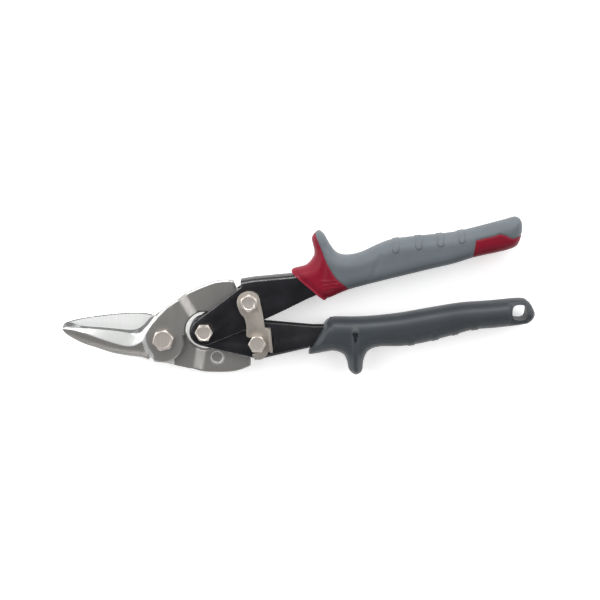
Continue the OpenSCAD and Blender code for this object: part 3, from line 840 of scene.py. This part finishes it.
# ---------------------------------------------------------------- pressed and turned steel
def eased(name, node, body, mats, easings):
    """The CAD node's own shape with rounded edges. Each easing is (width, segments, test of an edge). On the
    handles a second material, a duller black as painted shade, goes on the faces that look straight back, and a
    third, worn bare steel that also stands in as a painted highlight line, on the small rim faces."""
    source = frame["nodes"][node]
    bm = bmesh.new()
    bm.from_mesh(source.data)
    bm.transform(source.matrix_world)
    bmesh.ops.remove_doubles(bm, verts=bm.verts, dist=1e-6)
    bmesh.ops.dissolve_limit(bm, angle_limit=math.radians(1), verts=bm.verts, edges=bm.edges)
    for width, segments, test in easings:
        bm.normal_update()
        sharp = [e for e in bm.edges if len(e.link_faces) == 2 and e.calc_face_angle(0) > math.radians(40)]
        chosen = [e for e in sharp if test(e)]
        bmesh.ops.bevel(bm, geom=chosen, offset=width * MM, segments=segments, profile=0.5, affect="EDGES",
            clamp_overlap=len(mats) == 1)
    bm.normal_update()
    for f in bm.faces if len(mats) > 1 else ():
        slope = abs(f.normal.z)
        wide = abs(f.calc_center_median().z / MM - PIVOT[2]) > 4
        # painted shade: the faces that look straight back take the duller black
        if f.normal.y > 0.9:
            f.material_index = 1
        # worn rims: bare steel, also a painted highlight line along the small rim faces
        elif 0.25 < slope < 0.97 and wide and f.normal.y < 0.45 and f.calc_area() < 12 * MM * MM:
            f.material_index = 2
    return new_object(name, finish_mesh(name, bm, 40), body, [node], mats)


CHANNEL_END = 165  # x, inside the grips


def bend(side, start):
    """Picks a channel's outer bends: where the cheeks turn into the web, on that side in y."""

    def test(edge):
        middle = (edge.verts[0].co + edge.verts[1].co) / 2 / MM
        tall = abs(middle.z - PIVOT[2]) > 4
        flat = [f for f in edge.link_faces if abs(f.normal.z) > 0.9]
        web = [f for f in edge.link_faces if f.normal.y * side > 0.6]
        return bool(tall and flat and web and start < middle.x - PIVOT[0] < CHANNEL_END)

    return test


def rims(edge):
    """Every sharp edge round a flat face that looks up or down."""
    return any(abs(f.normal.z) > 0.9 for f in edge.link_faces)


eased("upper_handle_pressed", "upper_handle", "upper_arm", [BLACK, BLACK_PAINTED_SHADE, WORN_RIM_HIGHLIGHT],
    [(1.9, 6, bend(1, 40)), (0.3, 2, rims)])
eased("lower_handle_pressed", "lower_handle", "lower_arm", [BLACK, BLACK_PAINTED_SHADE, WORN_RIM_HIGHLIGHT],
    [(1.6, 6, bend(-1, 46)), (0.3, 2, rims)])
eased("latch_pressed", "latch", "latch_arm", [LATCH_STEEL], [(0.35, 3, rims)])


def head_top(pin, seat, height, width, dish, depth):
    """A hex head's top: corners turned down, and a round recess of that radius and depth."""

    def top(x, y):
        r = np.hypot(x - pin[0], y - pin[1])
        corner = 0.6 * np.clip(r - width * 0.485, 0, 9)
        return seat + height - corner - depth * ease(r, dish + 0.2, dish - 0.35) - depth * 0.3 * ease(r, dish, 0)

    return top


def bolt(node, pin, seat, height, width, turn, shanks, body, dish, depth):
    """A bolt: shanks are (radius, from, to) heights of the round stretches below the head."""
    corners = arc(pin, width / math.sqrt(3), turn, turn + 300, 6)
    bm = plate(corners, head_top(pin, seat, height, width, dish, depth), lambda x, y: 0 * x + seat, (), 0.5,
        (0.25,), 0.4, None, [arc(pin, radius, 0, 360, 49) for radius in (dish + 0.2, dish - 0.35, width * 0.485)])
    for radius, low, high in shanks:
        made = bmesh.ops.create_cone(bm, cap_ends=True, segments=40, radius1=radius * MM, radius2=radius * MM,
            depth=(high - low) * MM)
        bmesh.ops.translate(bm, verts=made["verts"], vec=Vector(place(*pin, (low + high) / 2)))
    name = node + "_turned"
    return new_object(name, finish_mesh(name, bm), body, [node], [BOLT_STEEL])


HEAD = 3.2  # height of the handle bolts' heads
UPPER_OUT = 6.95  # the upper handle's outer face
LATCH_SEAT = 9.2  # the latch's outer face
LINK_AF = 8.2  # across the flats of the handle bolts' heads
IN_HEAD = 0.2  # how far a shank runs up into its head
PIVOT_R, LINK_R = 3, 2.5
NECK = (3.6, 4.6, 7.45)  # the raised neck that the latch hooks
bolt("pivot_bolt", (0, 0), BLADE_T, 3.5, 10, 12.5, [(PIVOT_R, 1 - GRIP_HALF, BLADE_T + IN_HEAD)],
    "front_jaw", 4.1, 0.16)
bolt("handle_bolt", EYE, UPPER_OUT, HEAD, LINK_AF, 0, [(LINK_R, -GRIP_HALF, UPPER_OUT + IN_HEAD)],
    "lower_arm", 3.55, 0.4)
bolt("upper_link_bolt", UPPER_PIN, LATCH_SEAT, HEAD, LINK_AF, 30, [(LINK_R, -GRIP_HALF, LATCH_SEAT + IN_HEAD)],
    "upper_arm", 3.1, 0.5)
bolt("lower_link_bolt", LOWER_PIN, LATCH_SEAT, HEAD, LINK_AF, 0,
    [(LINK_R, 0.4 - GRIP_HALF, LATCH_SEAT + IN_HEAD), NECK], "lower_arm", 3.45, 0.16)


def keep(node, mat, width):
    """A plain CAD node that is shown as it is, with a small bevel on its edges."""
    obj = frame["nodes"][node]
    obj.data.materials.clear()
    obj.data.materials.append(mat)
    weld = obj.modifiers.new("weld", "WELD")
    weld.merge_threshold = 0.00001
    ease_edges = obj.modifiers.new("eased_edges", "BEVEL")
    ease_edges.width = width * MM
    ease_edges.segments = 2
    ease_edges.limit_method = "ANGLE"
    ease_edges.angle_limit = math.radians(35)


for node in ("pivot_nut", "handle_nut", "upper_link_nut", "lower_link_nut"):
    keep(node, BOLT_STEEL, 0.3)
for node in ("pivot_washer", "handle_sleeve", "upper_link_spacers", "latch_washer"):
    keep(node, BOLT_STEEL, 0.08)


# ---------------------------------------------------------------- floor, lights and camera
LIGHTS = [  # name, place and size in metres, power in watts
    ("sky_left", (-1.3, 0.4, 1.1), (1.2, 1.6), 16),
    ("sky_right", (1.3, 0.5, 1.1), (1.2, 1.6), 13),
    ("sky_back", (0, 1.5, 0.95), (2.2, 0.5), 28),
    ("sky_front", (0, -1.4, 0.8), (2.0, 0.3), 7),
]
TILT = 9  # degrees from straight down
REACH = 0.9  # from the camera to the snips, in metres
FIELD = 0.318  # the picture's width there, in metres


def stage_floor():
    """A pale paper floor that glows faintly, so that it stays near white."""
    bm = bmesh.new()
    bmesh.ops.create_grid(bm, x_segments=8, y_segments=8, size=3)
    mesh = bpy.data.meshes.new("floor")
    bm.to_mesh(mesh)
    bm.free()
    floor = bpy.data.objects.new("floor", mesh)
    floor.location.z = -0.2 * MM
    SCENE.collection.objects.link(floor)
    m, tree, shader = material("floor_paper", (0.9, 0.9, 0.9), 0.9)
    tone = tint(tree, noise(tree, 40), (0.89, 0.89, 0.89), (0.91, 0.91, 0.91))
    tree.links.new(tone, shader.inputs["Base Color"])
    shader.inputs["Emission Color"].default_value = (1, 1, 1, 1)
    shader.inputs["Emission Strength"].default_value = 0.42
    floor.data.materials.append(m)


def softbox(name, where, size, power, target=(0, 0, 0.01)):
    light = bpy.data.lights.new(name, "AREA")
    light.shape = "RECTANGLE"
    light.size, light.size_y = size
    light.energy = power
    obj = bpy.data.objects.new(name, light)
    SCENE.collection.objects.link(obj)
    obj.location = where
    obj.rotation_euler = (Vector(target) - Vector(where)).to_track_quat("-Z", "Y").to_euler()


def camera(tilt, reach, width):
    """Looks down from the upper handle's side, tilt degrees from straight down."""
    cam = bpy.data.cameras.new("camera")
    obj = bpy.data.objects.new("camera", cam)
    SCENE.collection.objects.link(obj)
    aim = Vector((0.001, -0.0022, GRIP_HALF * MM))
    a = math.radians(tilt)
    obj.location = aim + Vector((0, math.sin(a), math.cos(a))) * reach
    obj.rotation_euler = (-a, 0, 0)
    cam.lens = cam.sensor_width * reach / width
    cam.clip_end = 20
    SCENE.camera = obj


stage_floor()
for light in LIGHTS:
    softbox(*light)


def studio_world():
    """Soft light all round: brightest low down behind the snips, darker overhead and in front."""
    world = bpy.data.worlds.new("studio")
    world.use_nodes = True
    tree = world.node_tree
    coord = tree.nodes.new("ShaderNodeTexCoord")
    split = tree.nodes.new("ShaderNodeSeparateXYZ")
    tree.links.new(coord.outputs["Generated"], split.inputs["Vector"])
    back = ramp(tree, split.outputs["Y"], -1, 1, 0.12, 0.75)
    total = tree.nodes.new("ShaderNodeMath")
    total.operation = "ADD"
    tree.links.new(back, total.inputs[0])
    tree.links.new(ramp(tree, split.outputs["Z"], 0.3, 1, 0.0, -0.16), total.inputs[1])
    tree.links.new(total.outputs[0], tree.nodes["Background"].inputs["Strength"])
    tree.nodes["Background"].inputs["Color"].default_value = (1, 1, 1, 1)
    SCENE.world = world


studio_world()
SCENE.view_settings.view_transform = "Standard"
camera(TILT, REACH, FIELD)

bpy.context.view_layer.update()
